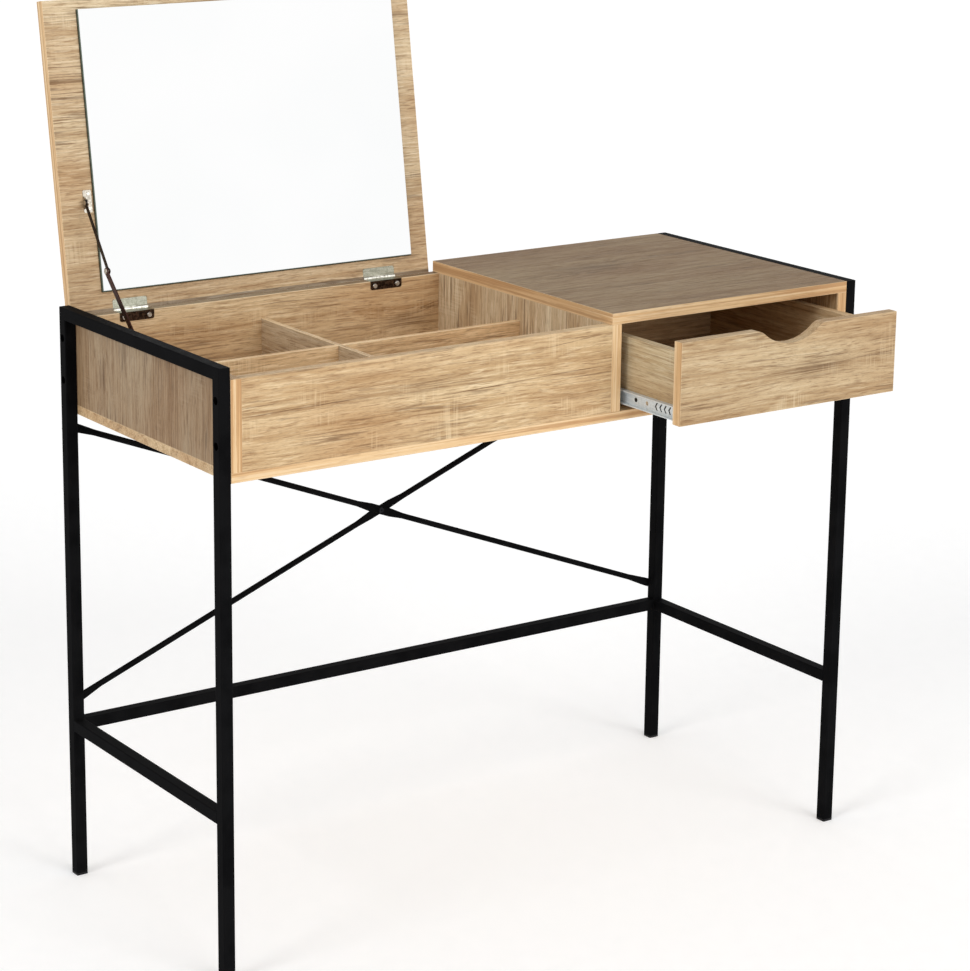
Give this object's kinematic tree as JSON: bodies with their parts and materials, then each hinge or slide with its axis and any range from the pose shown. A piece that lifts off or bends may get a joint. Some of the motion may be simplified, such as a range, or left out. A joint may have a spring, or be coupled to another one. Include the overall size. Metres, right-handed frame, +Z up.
{
  "type": "vanity table",
  "caption": "Vanity table on a square tube frame, with a mirror under a folding lid, a divided storage well and a drawer beside it.",
  "frame": {"origin": "on the floor at the centre of the four feet", "axes": "+X towards the drawer side, at the right of someone sitting at the table; +Y towards the back; +Z up; the drawer and the lid are drawn open"},
  "size_m": [0.985, 0.608, 1.1565],
  "materials": {
    "frame_black": "black powder coat, satin",
    "cap_black": "matte",
    "bolt_black": "black oxide",
    "oak_board": "light oak, matte",
    "oak_drawer": "light oak, matte",
    "beech_dowel": "plain",
    "screw_zinc": "zinc plated",
    "mirror": "silvered",
    "hinge_steel": "nickel plated",
    "stay_steel": "dark brown lacquer on steel",
    "slide_zinc": "bright zinc plated"
  },
  "bodies": {
    "base": {"back_panel": "oak_board", "base_screws": "screw_zinc", "bottom_panel": "oak_board", "brace_a": "frame_black", "brace_b": "frame_black", "brace_bolts": "bolt_black", "brace_nut": "bolt_black", "divider_cross": "oak_board", "divider_long": "oak_board", "foot_caps": "cap_black", "frame_bolts": "bolt_black", "front_panel": "oak_board", "hinge_box_leaf_left": "hinge_steel", "hinge_box_leaf_right": "hinge_steel", "hinge_pins": "hinge_steel", "hinge_screws_box": "screw_zinc", "leg_front_left": "frame_black", "leg_front_right": "frame_black", "leg_rear_left": "frame_black", "leg_rear_right": "frame_black", "partition": "oak_board", "rear_stretcher": "frame_black", "side_panel_left": "oak_board", "side_panel_right": "oak_board", "side_stretcher_left": "frame_black", "side_stretcher_right": "frame_black", "slide_cabinet_rail_left": "slide_zinc", "slide_cabinet_rail_right": "slide_zinc", "slide_screws_cabinet": "screw_zinc", "stay_box_bracket": "stay_steel", "stay_screws_box": "screw_zinc", "top_bar_left": "frame_black", "top_bar_right": "frame_black", "top_dowels": "beech_dowel", "top_panel": "oak_board"},
    "lid": {"lid_panel": "oak_board", "mirror_glass": "mirror", "hinge_lid_leaf_left": "hinge_steel", "hinge_lid_leaf_right": "hinge_steel", "hinge_screws_lid": "screw_zinc", "stay_lid_bracket": "stay_steel", "stay_screws_lid": "screw_zinc"},
    "stay_lower": {"stay_arm_lower": "stay_steel", "stay_rivet": "stay_steel"},
    "stay_upper": {"stay_arm_upper": "stay_steel"},
    "drawer": {"drawer_back": "oak_drawer", "drawer_bottom": "oak_drawer", "drawer_dowels": "beech_dowel", "drawer_front": "oak_drawer", "drawer_screws": "screw_zinc", "drawer_side_left": "oak_drawer", "drawer_side_right": "oak_drawer", "slide_drawer_rail_left": "slide_zinc", "slide_drawer_rail_right": "slide_zinc", "slide_screws_drawer": "screw_zinc"},
    "slide_cages": {"slide_cage_left": "slide_zinc", "slide_cage_right": "slide_zinc"}
  },
  "joints": [
    {"name": "lid_hinge", "type": "hinge", "parent": "base", "child": "lid", "pos_m": [-0.198, 0.2075, 0.7603], "axis": [1, 0, 0], "range_deg": [0, 99]},
    {"name": "stay_lower_pivot", "type": "hinge", "parent": "base", "child": "stay_lower", "pos_m": [-0.44565, 0.081, 0.744], "axis": [1, 0, 0], "range_deg": [0, 140.11]},
    {"name": "stay_upper_pivot", "type": "hinge", "parent": "lid", "child": "stay_upper", "pos_m": [-0.44295, 0.22132, 0.90188], "axis": [1, 0, 0], "range_deg": [-142.46, 0]},
    {"name": "drawer_slide", "type": "slide", "parent": "base", "child": "drawer", "axis": [0, -1, 0], "range_m": [-0.118, 0.132]},
    {"name": "cage_slide", "type": "slide", "parent": "base", "child": "slide_cages", "axis": [0, -1, 0], "range_m": [-0.059, 0.066]}
  ],
  "couplings": [
    {"joint": "stay_lower_pivot", "follows": "lid_hinge", "ratio": 1.4152},
    {"joint": "stay_upper_pivot", "follows": "lid_hinge", "ratio": -1.439},
    {"joint": "cage_slide", "follows": "drawer_slide", "ratio": 0.5}
  ]
}
